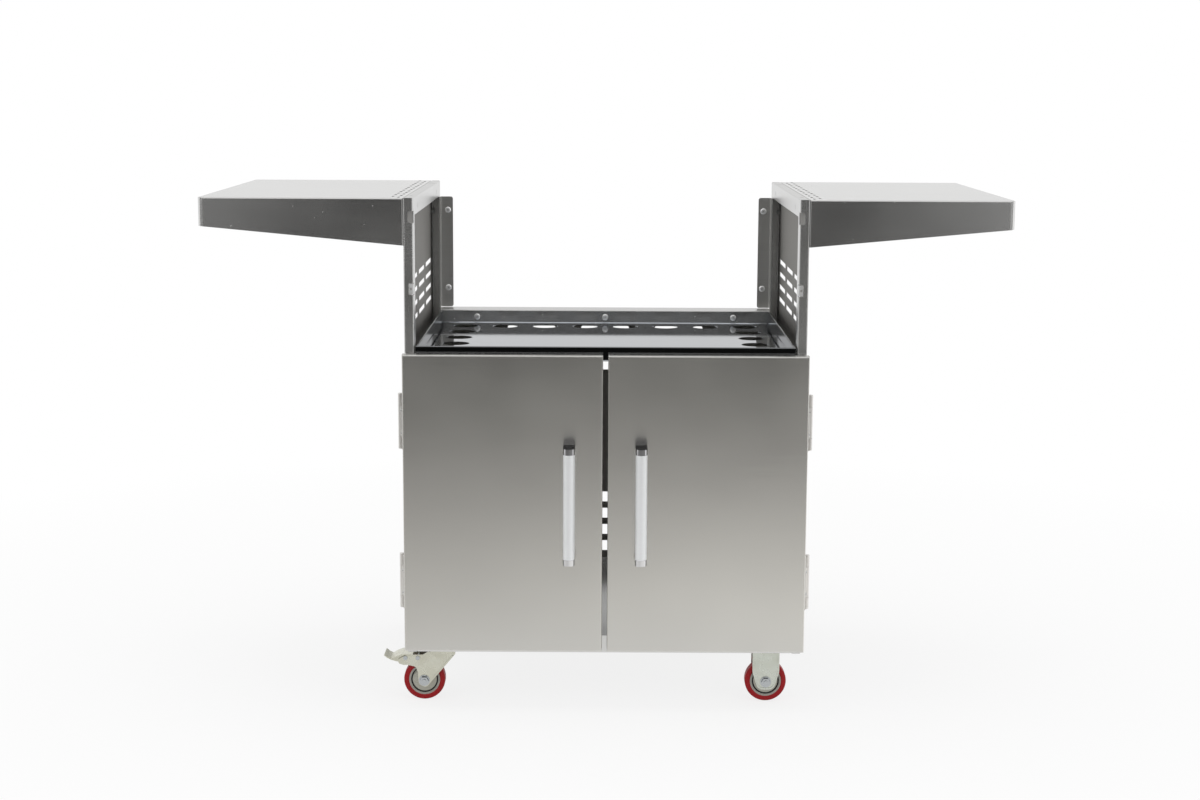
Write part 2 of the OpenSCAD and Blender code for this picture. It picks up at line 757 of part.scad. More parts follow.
// Frame leaf: flat on the side panel, cranked out to the two outer knuckles
module frame_leaf(z) {
    lo = z - hinge_l / 2;
    hi = z + hinge_l / 2;
    reach = hinge_y + leaf_w;
    difference() {
        union() {
            box([skin_x, hinge_y + barrel_r + 1.5, lo], [skin_x + leaf_t, reach, hi]);
            for (k = [lo, hi - outer_knuckle_l]) along_z(k, outer_knuckle_l) difference() {
                polygon([[skin_x, hinge_y + barrel_r + 2], [skin_x, hinge_y + barrel_r + 0.5],
                    [hinge_x - barrel_r, hinge_y + 1.8], [hinge_x, hinge_y + barrel_r - 0.2],
                    [skin_x + leaf_t, reach - 6]]);
                translate([hinge_x, hinge_y]) circle(r = pin_r + 1);
            }
            for (k = [lo, hi - outer_knuckle_l]) knuckle(k, outer_knuckle_l);
        }
        for (p = frame_screw_spots()) rod_x(skin_x - 1, p[0], p[1], shank_r, 4);
    }
}

// Door leaf: flat on the door's side flange, wrapped into the centre knuckle
module door_leaf(z) {
    inner_l = hinge_l - 2 * outer_knuckle_l - 2 * knuckle_gap;
    free_edge = hinge_y - leaf_w;
    clear_y = hinge_y - barrel_r - 0.6;
    box([door_outer_x, free_edge, z - hinge_l / 2], [door_outer_x + leaf_t, clear_y, z + hinge_l / 2]);
    along_z(z - inner_l / 2, inner_l) difference() {
        polygon([[door_outer_x, clear_y - 1], [door_outer_x + leaf_t, clear_y - 1],
            [hinge_x, hinge_y - barrel_r + 0.2], [hinge_x - barrel_r + 0.1, hinge_y],
            [door_outer_x, hinge_y - 1.5]]);
        translate([hinge_x, hinge_y]) circle(r = pin_r + 1);
    }
    knuckle(z - inner_l / 2, inner_l);
}

module frame_leaves(side) { on_side(side) for (z = hinge_zs) frame_leaf(z); }
module door_leaves(side) { on_side(side) for (z = hinge_zs) door_leaf(z); }

module left_hinge_frame_leaves() { color(bright_steel) frame_leaves(left); }
module right_hinge_frame_leaves() { color(bright_steel) frame_leaves(right); }

// Pins with domed ends above and below the knuckles
module hinge_pins() {
    half = hinge_l / 2;
    end = half + 1.6;
    dome_r = 1.5;
    color(bright_steel) for (side = [left, right], z = hinge_zs) on_side(side)
        translate([hinge_x, hinge_y, z]) rotate_extrude() polygon(rounded([
            [0, -end, 0], [barrel_r, -end, dome_r], [barrel_r, -half, 0], [pin_r, -half, 0],
            [pin_r, half, 0], [barrel_r, half, 0], [barrel_r, end, dome_r], [0, end, 0]], 4));
}

// Small screws of the cabinet: frame leaves and back panel
module cabinet_screws() {
    color(bright_steel) {
        for (side = [left, right], p = frame_screw_spots()) on_side(side) {
            rod_x(skin_x + leaf_t, p[0], p[1], flat_head_r, flat_head_h);
            rod_x(skin_x - 6, p[0], p[1], shank_r, leaf_t + 6 + eps);
        }
        for (side = [left, right], p = back_screw_spots()) on_side(side) {
            rod_x(inner_x - sheet_t - flat_head_h, p[0], p[1], flat_head_r, flat_head_h);
            rod_x(inner_x - sheet_t - eps, p[0], p[1], shank_r, sheet_t + 8);
        }
    }
}

module left_door_skin() { color(steel) door_skin(left); }
module left_door_liner() { color(steel) door_liner(left); }
module left_hinge_door_leaves() { color(bright_steel) door_leaves(left); }
module left_handle_bar() { color(bright_steel) handle_bar(left); }
module left_handle_posts() { color(bright_steel) handle_posts(left); }
module left_door_screws() { color(bright_steel) door_screws(left); }
module left_strike_plate() { color(zinc) strike_plate(left); }
module right_door_skin() { color(steel) door_skin(right); }
module right_door_liner() { color(steel) door_liner(right); }
module right_hinge_door_leaves() { color(bright_steel) door_leaves(right); }
module right_handle_bar() { color(bright_steel) handle_bar(right); }
module right_handle_posts() { color(bright_steel) handle_posts(right); }
module right_door_screws() { color(bright_steel) door_screws(right); }
module right_strike_plate() { color(zinc) strike_plate(right); }

// Casters, each drawn with its swivel or plate axis at x = 0, y = 0 and the
// floor at z = 0. The swivel wheels trail towards -x.

caster_x = skin_x - caster_side_inset;
front_y = cab_y + caster_inset;
back_y = rear_y - caster_inset;
function caster_spots() = [for (x = [-caster_x, caster_x], y = [front_y, back_y]) [x, y]];

plate_l = 92;
plate_w = 64;
plate_t = 2.5;
function plate_bolt_spots() = [for (x = [-32, 32], y = [-22.5, 22.5]) [x, y]];

axle_z = wheel_d / 2;
hub_r = wheel_d / 2 - tread_t;
rim_t = 3.6;
seal_w = 2.3;
leg_in = wheel_w / 2 + 3.4;
leg_out = leg_in + fork_t;
hub_half_w = leg_in - move_gap;

module caster_plate() {
    difference() {
        along_z(deck_z - plate_t, plate_t)
            polygon(rounded_box([-plate_l, -plate_w] / 2, [plate_l, plate_w] / 2, [8, 8, 8, 8]));
        for (p = plate_bolt_spots()) translate([p[0], p[1], deck_z - plate_t - 1])
            linear_extrude(plate_t + 2) slot(11, 7);
    }
}

// Swivel head: an upper race under the plate and a dished crown on the fork

race_r = 23;
ball_z = deck_z - plate_t - ball_r - move_gap - 1;
crown_z = ball_z - ball_r - move_gap - fork_t;
kingpin_r = 5;

module swivel_plate() {
    race_t = 2.2;
    difference() {
        union() {
            caster_plate();
            rod_z(0, 0, deck_z - plate_t - race_t, race_r + 6, race_t + eps);
        }
        translate([0, 0, ball_z]) rotate_extrude() translate([race_r, 0]) circle(r = ball_r + 0.25);
        rod_z(0, 0, deck_z - plate_t - race_t - 1, kingpin_r, plate_t + race_t + 2);
    }
}

module swivel_plates() {
    color(zinc) for (y = [front_y, back_y]) translate([-caster_x, y, 0]) swivel_plate();
}

module swivel_balls() {
    color(bright_steel) for (y = [front_y, back_y]) translate([-caster_x, y, 0])
        for (k = [0 : balls - 1]) rotate(360 * k / balls) translate([race_r, 0, ball_z])
            sphere(r = ball_r, $fn = 24);
}

module swivel_kingpins() {
    head_z = crown_z - move_gap - 4.5;
    color(zinc) for (y = [front_y, back_y]) {
        rod_z(-caster_x, y, head_z, kingpin_r, deck_z - head_z);
        rod_z(-caster_x, y, head_z, kingpin_r + 4, 4.5);
    }
}

// Bolts and nuts that hold the caster plates to the bottom panel
module caster_bolts() {
    color(zinc) for (c = caster_spots(), p = plate_bolt_spots()) translate([c[0] + p[0], c[1] + p[1], 0]) {
        translate([0, 0, deck_z - plate_t - 4]) cylinder(r = 5.8, h = 4, $fn = 6);
        rod_z(0, 0, deck_z - plate_t - eps, 3, plate_t + sheet_t + 8);
        translate([0, 0, deck_z + sheet_t]) cylinder(r = 5.8, h = 5, $fn = 6);
    }
}

// Pins of the brake, measured from the axle
outer_pin = [-34, 42];
inner_pin = [-11.7, 42];
brake_pin_r = 2.5;

// Side of the swivel fork, measured from the axle: the round end about the
// axle, the sloped leading edge and the arm that carries the brake pins
slope_foot = [3, -14];
slope_head = [56.5, 49.5];
function swivel_leg() = rounded([
    [-10, -7, 8.5], [slope_foot[0], slope_foot[1], 8], [slope_head[0], slope_head[1], 2],
    [slope_head[0], crown_z - axle_z + fork_t, 0],
    [12, crown_z - axle_z + fork_t, 3], [-2, outer_pin[1] + 6, 6], [-33, outer_pin[1] + 5, 5],
    [-48, outer_pin[1] - 3, 3], [-46, 31.5, 4], [-37, 28.5, 3], [-30, 29, 4], [-15, 25.5, 7],
    [-11.5, 15, 6]]);

// Rib pressed outwards beside the sloped edge
leg_rib_w = 2.2;
leg_rib_h = 1.4;
leg_rib_edge = 0.6;
function leg_rib() =
    let (rise = slope_head - slope_foot,
         inward = left_of(unit(rise)),
         a = slope_foot + 0.28 * rise + leg_rib_edge * inward,
         b = slope_foot + 0.94 * rise + leg_rib_edge * inward)
    [a, b, b + leg_rib_w * inward, a + leg_rib_w * inward];

module swivel_fork() {
    difference() {
        union() {
            translate([-trail, 0, axle_z]) {
                for (y = [-leg_out, leg_in]) along_y(y, fork_t) polygon(swivel_leg());
                for (y = [-leg_out - leg_rib_h, leg_out - fork_t / 2])
                    along_y(y, leg_rib_h + fork_t / 2) polygon(leg_rib());
            }
            along_z(crown_z, fork_t)
                polygon(rounded_box([-race_r - 3, -leg_out], [race_r + 3, leg_out], [4, 4, 4, 4]));
            rod_z(0, 0, crown_z, race_r + 7, fork_t);
            // rim that shrouds the balls
            difference() {
                rod_z(0, 0, crown_z, race_r + 7, ball_z - crown_z + ball_r - 1.2);
                rod_z(0, 0, crown_z + 1, race_r + 5, 20);
            }
        }
        translate([0, 0, ball_z]) rotate_extrude() translate([race_r, 0]) circle(r = ball_r + 0.25);
        rod_z(0, 0, crown_z - 1, kingpin_r + run_fit, fork_t + 2);
        rod_y(-trail, -leg_out - 1, axle_z, axle_d / 2, 2 * leg_out + 2);
        for (p = [outer_pin, inner_pin])
            rod_y(p[0] - trail, -leg_out - 1, p[1] + axle_z, brake_pin_r, 2 * leg_out + 2);
    }
}

// Axle bolt with its nut in front, a washer under the nut and one under the
// head. The legs' outer faces lie at a distance of face from the wheel's middle.
module caster_axle(x, face) {
    hex_r = 8.2;
    hex_t = 5;
    washer_r = 10.2;
    washer_t = 1.2;
    end_l = 1.5;
    stack = face + washer_t + hex_t;
    rod_y(x, -stack - end_l, axle_z, axle_d / 2, 2 * stack + end_l);
    for (end = [-1, 1]) translate([x, end * face, axle_z]) rotate([-90 * end, 0, 0]) {
        cylinder(r = washer_r, h = washer_t);
        translate([0, 0, washer_t - eps]) cylinder(r = hex_r, h = hex_t + eps, $fn = 6);
    }
}

// Brake pins and the spring leaf that lies under the inner pin
module brake_gear() {
    translate([-trail, 0, axle_z]) {
        for (p = [outer_pin, inner_pin]) {
            rod_y(p[0], -leg_out, p[1], brake_pin_r, 2 * leg_out);
            for (y = [-leg_out - 1.2, leg_out]) rod_y(p[0], y, p[1], brake_pin_r + 1.4, 1.2);
        }
        along_y(-9, 18) polygon(folded([
            [-27, 38.6], [inner_pin[0] + 1, 38.2], [4, 43], [16, 44.5]], 1.2, 3));
    }
}

// Pedal: wavy foot plate with two cheeks that turn on the outer pin
pedal_w = 42;

module brake_pedal() {
    cheek_t = 2;
    plate_path = [[-20, 50.2], [-41, 49.8], [-51, 46], [-59, 41], [-66, 44.5], [-71.5, 49]];
    translate([-trail, 0, axle_z]) difference() {
        union() {
            along_y(-pedal_w / 2, pedal_w) polygon(folded(plate_path, 1.8, 3));
            for (y = [-leg_in + move_gap, leg_in - move_gap - cheek_t]) along_y(y, cheek_t) polygon(rounded([
                [-28, 36.5, 3], [-28, 49, 0], [-41, 48.6, 0], [-51, 45, 0], [-58.5, 40.4, 0], [-63, 41.6, 0],
                [-62, 38, 2], [-50, 34.5, 2], [-38, 34.5, 3]]));
        }
        rod_y(outer_pin[0], -leg_out, outer_pin[1], brake_pin_r + run_fit, 2 * leg_out);
    }
}

// Wheels

module tread() {
    shoulder = 4;
    rotate([90, 0, 0]) rotate_extrude($fn = 96) polygon(rounded([
        [hub_r, -wheel_w / 2 + 1, 0], [hub_r + 2, -wheel_w / 2, 0], [wheel_d / 2, -wheel_w / 2, shoulder],
        [wheel_d / 2, wheel_w / 2, shoulder], [hub_r + 2, wheel_w / 2, 0], [hub_r, wheel_w / 2 - 1, 0]]));
}

boss_r = 10;

module hub() {
    rim_w = wheel_w - 2;
    web_w = 6;
    bore_r = axle_d / 2 + run_fit;
    half = [[bore_r, hub_half_w, 0], [boss_r, hub_half_w, 1], [boss_r, web_w / 2 + 1, 1.5],
        [hub_r - rim_t - 0.4, web_w / 2, 1.5], [hub_r - rim_t, rim_w / 2, 0], [hub_r, rim_w / 2, 0]];
    outline = concat(half, [for (i = [len(half) - 1 : -1 : 0]) [half[i][0], -half[i][1], half[i][2]]]);
    rotate([90, 0, 0]) rotate_extrude($fn = 96) polygon(rounded(outline, 3));
}

// Pressed dust covers on both sides of the hub, inside the groove of the seal
module wheel_covers() {
    cover_r = hub_r - rim_t - seal_w;
    for (side = [left, right]) rotate([side * 90, 0, 0]) rotate_extrude($fn = 96) polygon(rounded([
        [boss_r, wheel_w / 2 - 3.5, 0], [cover_r, wheel_w / 2 - 5, 0], [cover_r, wheel_w / 2 - 2.6, 1],
        [cover_r - 3, wheel_w / 2 - 1.8, 1], [boss_r, wheel_w / 2 - 1, 0]], 3));
}

module at_swivel(y) translate([-caster_x, y, 0]) children();
module at_swivel_wheel(y) translate([-caster_x - trail, y, axle_z]) children();
module at_rigid_wheel(y) translate([caster_x, y, axle_z]) children();

module front_left_fork() { color(zinc) at_swivel(front_y) swivel_fork(); }
module front_left_axle() { color(bright_steel) at_swivel(front_y) caster_axle(-trail, leg_out); }
module front_left_brake_gear() { color(bright_steel) at_swivel(front_y) brake_gear(); }
module front_left_pedal() { color(zinc) at_swivel(front_y) brake_pedal(); }
module front_left_tread() { color(red_tread) at_swivel_wheel(front_y) tread(); }
module front_left_hub() { color(grey_plastic) at_swivel_wheel(front_y) hub(); }
module front_left_wheel_covers() { color(zinc) at_swivel_wheel(front_y) wheel_covers(); }
module rear_left_fork() { color(zinc) at_swivel(back_y) swivel_fork(); }
module rear_left_axle() { color(bright_steel) at_swivel(back_y) caster_axle(-trail, leg_out); }
module rear_left_brake_gear() { color(bright_steel) at_swivel(back_y) brake_gear(); }
module rear_left_pedal() { color(zinc) at_swivel(back_y) brake_pedal(); }
module rear_left_tread() { color(red_tread) at_swivel_wheel(back_y) tread(); }
module rear_left_hub() { color(grey_plastic) at_swivel_wheel(back_y) hub(); }
module rear_left_wheel_covers() { color(zinc) at_swivel_wheel(back_y) wheel_covers(); }
module front_right_tread() { color(red_tread) at_rigid_wheel(front_y) tread(); }
module front_right_hub() { color(grey_plastic) at_rigid_wheel(front_y) hub(); }
module front_right_wheel_covers() { color(zinc) at_rigid_wheel(front_y) wheel_covers(); }
module rear_right_tread() { color(red_tread) at_rigid_wheel(back_y) tread(); }
module rear_right_hub() { color(grey_plastic) at_rigid_wheel(back_y) hub(); }
module rear_right_wheel_covers() { color(zinc) at_rigid_wheel(back_y) wheel_covers(); }

// Rigid fork: plate and two tapered legs with a pressed panel in each

leg_w = 48.7;
leg_foot_w = 28;
leg_foot_z = -14.4;
leg_taper_z = 18;
panel_inset = 3.2;
panel_d = 1;

function rigid_leg(inset) = rounded([
    [-leg_w / 2 + inset, deck_z - plate_t - axle_z - inset, 0], [-leg_w / 2 + inset, leg_taper_z, 30],
    [-leg_foot_w / 2, leg_foot_z + inset, 12], [leg_foot_w / 2, leg_foot_z + inset, 12],
    [leg_w / 2 - inset, leg_taper_z, 30], [leg_w / 2 - inset, deck_z - plate_t - axle_z - inset, 0]]);

module rigid_fork() {
    caster_plate();
    difference() {
        for (side = [0, 1]) rotate(180 * side) translate([0, 0, axle_z]) difference() {
            along_y(-leg_out, fork_t) polygon(rigid_leg(0));
            along_y(-leg_out - 1, 1 + panel_d) polygon(rigid_leg(panel_inset));
        }
        rod_y(0, -leg_out - 1, axle_z, axle_d / 2, 2 * leg_out + 2);
    }
}

module rigid_forks() { color(zinc) for (y = [front_y, back_y]) translate([caster_x, y, 0]) rigid_fork(); }
module rigid_axles() {
    color(bright_steel) for (y = [front_y, back_y]) translate([caster_x, y, 0])
        caster_axle(0, leg_out - panel_d);
}

left_side_panel();
right_side_panel();
back_panel();
bottom_panel();
heat_tray();
tray_walls();
tray_rails();
rear_tray_rail();
left_shelf();
right_shelf();
shelf_braces();
shelf_bolts();
rear_brackets();
pan_head_screws();
clip_nuts();
door_catches();
cabinet_screws();
left_hinge_frame_leaves();
right_hinge_frame_leaves();
hinge_pins();
swivel_plates();
swivel_kingpins();
swivel_balls();
caster_bolts();
rigid_forks();
rigid_axles();
left_door_skin();
left_door_liner();
left_hinge_door_leaves();
left_handle_bar();
left_handle_posts();
left_door_screws();
left_strike_plate();
right_door_skin();
right_door_liner();
right_hinge_door_leaves();
right_handle_bar();
right_handle_posts();
right_door_screws();
right_strike_plate();
front_left_fork();
front_left_axle();
front_left_brake_gear();
front_left_pedal();
front_left_tread();
front_left_hub();
front_left_wheel_covers();
rear_left_fork();
rear_left_axle();
rear_left_brake_gear();
rear_left_pedal();
rear_left_tread();
rear_left_hub();
rear_left_wheel_covers();
front_right_tread();
front_right_hub();
front_right_wheel_covers();
rear_right_tread();
rear_right_hub();
rear_right_wheel_covers();
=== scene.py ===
# Finishes, small detail, studio and camera for the grill cart.
# Metres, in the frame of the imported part: z up, floor at z = 0, front towards -y.
import json
import math
import random

import bmesh
import bpy
from mathutils import Matrix, Vector


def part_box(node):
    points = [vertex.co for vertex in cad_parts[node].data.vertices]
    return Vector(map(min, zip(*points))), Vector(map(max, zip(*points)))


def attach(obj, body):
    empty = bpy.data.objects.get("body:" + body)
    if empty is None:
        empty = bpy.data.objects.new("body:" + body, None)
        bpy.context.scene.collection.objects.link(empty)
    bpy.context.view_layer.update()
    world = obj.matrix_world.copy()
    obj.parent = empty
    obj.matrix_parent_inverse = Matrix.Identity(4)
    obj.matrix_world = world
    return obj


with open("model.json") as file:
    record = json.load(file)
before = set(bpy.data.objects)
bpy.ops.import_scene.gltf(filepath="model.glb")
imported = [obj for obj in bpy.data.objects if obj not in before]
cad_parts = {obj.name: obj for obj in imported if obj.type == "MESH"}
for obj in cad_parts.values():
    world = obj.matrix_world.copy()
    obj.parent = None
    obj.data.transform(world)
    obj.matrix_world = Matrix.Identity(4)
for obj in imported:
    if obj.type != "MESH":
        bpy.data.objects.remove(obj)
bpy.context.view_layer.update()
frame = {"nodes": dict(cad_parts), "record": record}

MM = 0.001
NODES = frame["nodes"]


# Node trees

MIX_A, MIX_B, MIX_RESULT = 6, 7, 2     # the mix node's sockets for colours
NOISE_MIDDLE = (0.3, 0.7)              # the range that most of a noise lies in


def tinted(colour, factor):
    return tuple(channel * factor for channel in colour)


class Tree:
    """The node tree of one material, with short calls for the nodes that the finishes share."""

    def __init__(self, name):
        self.material = bpy.data.materials.new(name)
        self.material.use_nodes = True
        self.nodes = self.material.node_tree.nodes
        self.shader = self.nodes["Principled BSDF"]
        self.place = self.add("ShaderNodeTexCoord").outputs["Object"]

    def add(self, kind, **settings):
        node = self.nodes.new(kind)
        for key, value in settings.items():
            setattr(node, key, value)
        return node

    def link(self, source, target):
        self.material.node_tree.links.new(source, target)

    def fixed(self, **values):
        """Sets the shader's own sockets; an underscore in a name stands for a space."""
        for key, value in values.items():
            self.shader.inputs[key.replace("_", " ")].default_value = value

    def scaled(self, per_metre, shift):
        """The place counted in cells; per_metre is one number, or a list with one for each axis."""
        if not isinstance(per_metre, list):
            per_metre = [per_metre] * 3
        mapping = self.add("ShaderNodeMapping")
        mapping.inputs["Scale"].default_value = per_metre
        mapping.inputs["Location"].default_value = [shift] * 3
        self.link(self.place, mapping.inputs["Vector"])
        return mapping.outputs["Vector"]

    def noise(self, per_metre, detail=2.0, shift=0.0):
        """Noise from 0 to 1."""
        node = self.add("ShaderNodeTexNoise")
        node.inputs["Scale"].default_value = 1.0
        node.inputs["Detail"].default_value = detail
        self.link(self.scaled(per_metre, shift), node.inputs["Vector"])
        return node.outputs["Fac"]

    def cells(self, per_metre, output="Distance", shift=0.0):
        """The distance from the nearest of many scattered points, or the random colour of its cell."""
        node = self.add("ShaderNodeTexVoronoi")
        node.inputs["Scale"].default_value = 1.0
        self.link(self.scaled(per_metre, shift), node.inputs["Vector"])
        return node.outputs[output]

    def remap(self, value, low, high, to_low=0.0, to_high=1.0):
        node = self.add("ShaderNodeMapRange")
        for key, number in (("From Min", low), ("From Max", high), ("To Min", to_low), ("To Max", to_high)):
            node.inputs[key].default_value = number
        self.link(value, node.inputs["Value"])
        return node.outputs["Result"]

    def spread(self, noise, low=0.0, high=1.0):
        """Stretches the middle range of a noise, so that it goes from low to high."""
        return self.remap(noise, *NOISE_MIDDLE, low, high)

    def math(self, operation, a, b=0.0):
        node = self.add("ShaderNodeMath", operation=operation)
        for socket, value in zip(node.inputs, (a, b)):
            if isinstance(value, (int, float)):
                socket.default_value = value
            else:
                self.link(value, socket)
        return node.outputs["Value"]

    def blend(self, a, share, b):
        """The given share of value a, and b for the rest."""
        return self.math("ADD", self.math("MULTIPLY", a, share), self.math("MULTIPLY", b, 1.0 - share))

    def length(self, vector):
        node = self.add("ShaderNodeVectorMath", operation="LENGTH")
        self.link(vector, node.inputs[0])
        return node.outputs["Value"]

    def mix(self, share, a, b):
        """Colour a where share is 0 and b where it is 1; a and b are colours or sockets."""
        node = self.add("ShaderNodeMix", data_type="RGBA")
        self.link(share, node.inputs["Factor"])
        for socket, value in ((node.inputs[MIX_A], a), (node.inputs[MIX_B], b)):
            if isinstance(value, tuple):
                socket.default_value = (*value, 1.0)
            else:
                self.link(value, socket)
        return node.outputs[MIX_RESULT]

    def shades(self, share, colour, darkest, lightest):
        """The colour times a factor that goes with share from darkest to lightest."""
        return self.mix(share, tinted(colour, darkest), tinted(colour, lightest))

    def bump(self, height, depth, strength=1.0):
        node = self.add("ShaderNodeBump")
        node.inputs["Distance"].default_value = depth
        node.inputs["Strength"].default_value = strength
        self.link(height, node.inputs["Height"])
        return node.outputs["Normal"]

    def finish(self, colour, roughness, normal):
        for socket, key in ((colour, "Base Color"), (roughness, "Roughness"), (normal, "Normal")):
            self.link(socket, self.shader.inputs[key])
        return self.material

    def show(self, output):
        """Puts another shader's output in place of the tree's own shader."""
        self.nodes.remove(self.shader)
        self.link(output, self.nodes["Material Output"].inputs["Surface"])
        return self.material


# Brushed steel

GRAIN_ALONG = 9.0         # cells per metre along the fine lines,
GRAIN_ACROSS = 900.0      # across the fine lines,
GRAIN_BROAD = 280.0       # across the broad lines
PATCHES = 7.0             # and of the slow patches
FINE_SHARE = 0.6          # share of the fine lines in the grain
LINE_SHARE = 0.75         # share of the grain in the shade, beside the patches
LINE_DARK = 0.07          # how much darker the lines make the colour,
LINE_LIGHT = 0.05         # how much lighter,
LINE_GLOSS = 0.02         # and the change of roughness either way, all at full grain
PATCH_GLOSS = 0.04        # change of roughness either way by the patches
GRAIN_DEPTH = 0.005 * MM
GRAIN_STRENGTH = 0.5
SHEEN_TURN = 0.25         # a quarter turn draws the highlights out across the lines
LYING = (0.6, 0.8)        # upward shares of the normal where a face begins to lie and where it does
DUST_PER_METRE = 130.0
DUST_FADE = (0.15, 0.1)   # distances in cells where a speck begins and where it is full
DUST_STEP = 0.02          # width of the step that picks the cells with a speck
DUST_SHIFT = 0.4
DUST_COLOUR = (0.62, 0.62, 0.6)


def grain_lines(tree, along):
    """Ground lines from 0 to 1. along is the axis, 0 to 2, that they follow; None leaves them
    level on every upright face."""
    fine = [GRAIN_ACROSS] * 3
    broad = [GRAIN_BROAD] * 3
    for axis in ((0, 1) if along is None else (along,)):
        fine[axis] = GRAIN_ALONG
        broad[axis] = GRAIN_ALONG / 2
    return tree.blend(tree.noise(fine, detail=3.0), FINE_SHARE, tree.noise(broad, shift=3.1))


def dust_specks(tree, dust):
    """1 on a small speck in some of the cells, in more of them as dust grows, and 0 elsewhere."""
    specks = tree.remap(tree.cells(DUST_PER_METRE, shift=DUST_SHIFT), *DUST_FADE)
    colour = tree.cells(DUST_PER_METRE, "Color", DUST_SHIFT)
    return tree.math("MULTIPLY", specks, tree.remap(colour, 1.0 - dust, 1.0 - dust + DUST_STEP))


def level_tangent(tree):
    """Runs level on upright faces and along x on lying ones."""
    upright, lying = [tree.add("ShaderNodeTangent", direction_type="RADIAL", axis=axis).outputs["Tangent"]
                      for axis in ("Z", "Y")]
    apart = tree.add("ShaderNodeSeparateXYZ")
    tree.link(tree.add("ShaderNodeNewGeometry").outputs["True Normal"], apart.inputs[0])
    return tree.mix(tree.remap(tree.math("ABSOLUTE", apart.outputs["Z"]), *LYING), upright, lying)


def brushed_steel(name, colour, roughness, along=None, stretch=0.0, grain=1.0, dust=0.0, rim=1.0):
    """Sheet steel with a ground grain along an axis. stretch draws the highlights out, grain is the
    depth of the lines, dust adds specks, and rim is the reflectance at a grazing view."""
    tree = Tree(name)
    lines = grain_lines(tree, along)
    patches = tree.noise(PATCHES, detail=1.0, shift=1.7)
    paint = tree.shades(tree.spread(tree.blend(lines, LINE_SHARE, patches)), colour,
                        1.0 - LINE_DARK * grain, 1.0 + LINE_LIGHT * grain)
    gloss = tree.math("ADD", tree.remap(patches, 0.0, 1.0, roughness - PATCH_GLOSS, roughness + PATCH_GLOSS),
                      tree.spread(lines, -LINE_GLOSS * grain, LINE_GLOSS * grain))
    tree.fixed(Metallic=1.0, Specular_Tint=(rim, rim, rim, 1.0))
    if dust:
        specks = dust_specks(tree, dust)
        paint = tree.mix(specks, paint, DUST_COLOUR)
        tree.link(tree.math("SUBTRACT", 1.0, specks), tree.shader.inputs["Metallic"])
    if stretch:
        tree.fixed(Anisotropic=stretch, Anisotropic_Rotation=SHEEN_TURN)
        tree.link(level_tangent(tree), tree.shader.inputs["Tangent"])
    return tree.finish(paint, gloss, tree.bump(lines, GRAIN_DEPTH, GRAIN_STRENGTH * grain))


# Other finishes

SHEET_RIPPLE = 0.01 * MM
SMALL_RIPPLE = 0.005 * MM
SPANGLE_DEPTH = 0.2 * MM
RING_DEPTH = 0.02 * MM
SPARK_DEPTH = 0.06 * MM
SCUFF_DEPTH = 0.08 * MM
SCUFF_COLOUR = (0.34, 0.12, 0.11)


def bright_steel(name, colour, roughness, ripple, rim=1.0):
    """Near mirror steel with faint wipe marks. ripple is the depth of its slow waves, and rim the
    reflectance at a grazing view."""
    tree = Tree(name)
    waves = tree.noise(14.0, detail=1.0)
    marks = tree.noise(60.0, detail=5.0, shift=2.3)
    paint = tree.shades(marks, colour, 0.94, 1.04)
    gloss = tree.remap(marks, 0.35, 0.75, roughness, roughness * 1.3)
    tree.fixed(Metallic=1.0, Specular_Tint=(rim, rim, rim, 1.0))
    return tree.finish(paint, gloss, tree.bump(waves, ripple))


def plated_zinc(name, colour, roughness):
    """Passivated zinc plate: faint spangle, small pits and a warm tint that varies."""
    tree = Tree(name)
    red, green, blue = colour
    spangle = tree.remap(tree.cells(160.0, "Color"), 0.0, 1.0, 0.0, 0.18)
    warmth = tree.noise(45.0, detail=3.0)
    pits = tree.remap(tree.cells(520.0), 0.05, 0.35, 1.0, 0.0)
    pitted = tree.remap(tree.noise(90.0, shift=5.2), 0.52, 0.68)
    dark = tree.math("MULTIPLY", tree.math("MULTIPLY", pits, pitted), 0.6)
    paint = tree.mix(warmth, colour, (red * 1.02, green * 0.98, blue * 0.9))
    paint = tree.mix(spangle, paint, tinted(colour, 1.15))
    paint = tree.mix(dark, paint, tinted(colour, 0.35))
    gloss = tree.spread(warmth, roughness - 0.06, roughness + 0.1)
    tree.fixed(Metallic=0.85)
    return tree.finish(paint, gloss, tree.bump(tree.noise(260.0, detail=3.0), SPANGLE_DEPTH, 0.3))


def satin_tube(name, colour, roughness):
    """Ground tube: fine rings round the tube and a soft sheen."""
    tree = Tree(name)
    rings = tree.noise([60.0, 60.0, 2600.0])
    cloud = tree.noise([30.0, 30.0, 12.0], detail=3.0, shift=4.4)
    paint = tree.shades(rings, colour, 0.95, 1.03)
    gloss = tree.spread(cloud, roughness - 0.04, roughness + 0.04)
    tree.fixed(Metallic=0.7)
    return tree.finish(paint, gloss, tree.bump(rings, RING_DEPTH, 0.4))


def moulded(name, colour, roughness):
    """Moulded plastic or rubber: spark textured skin with slight cloudiness."""
    tree = Tree(name)
    skin = tree.noise(1500.0)
    cloud = tree.noise(70.0, detail=3.0, shift=6.0)
    paint = tree.shades(cloud, colour, 0.88, 1.1)
    gloss = tree.spread(cloud, roughness - 0.05, roughness + 0.08)
    return tree.finish(paint, gloss, tree.bump(skin, SPARK_DEPTH, 0.5))


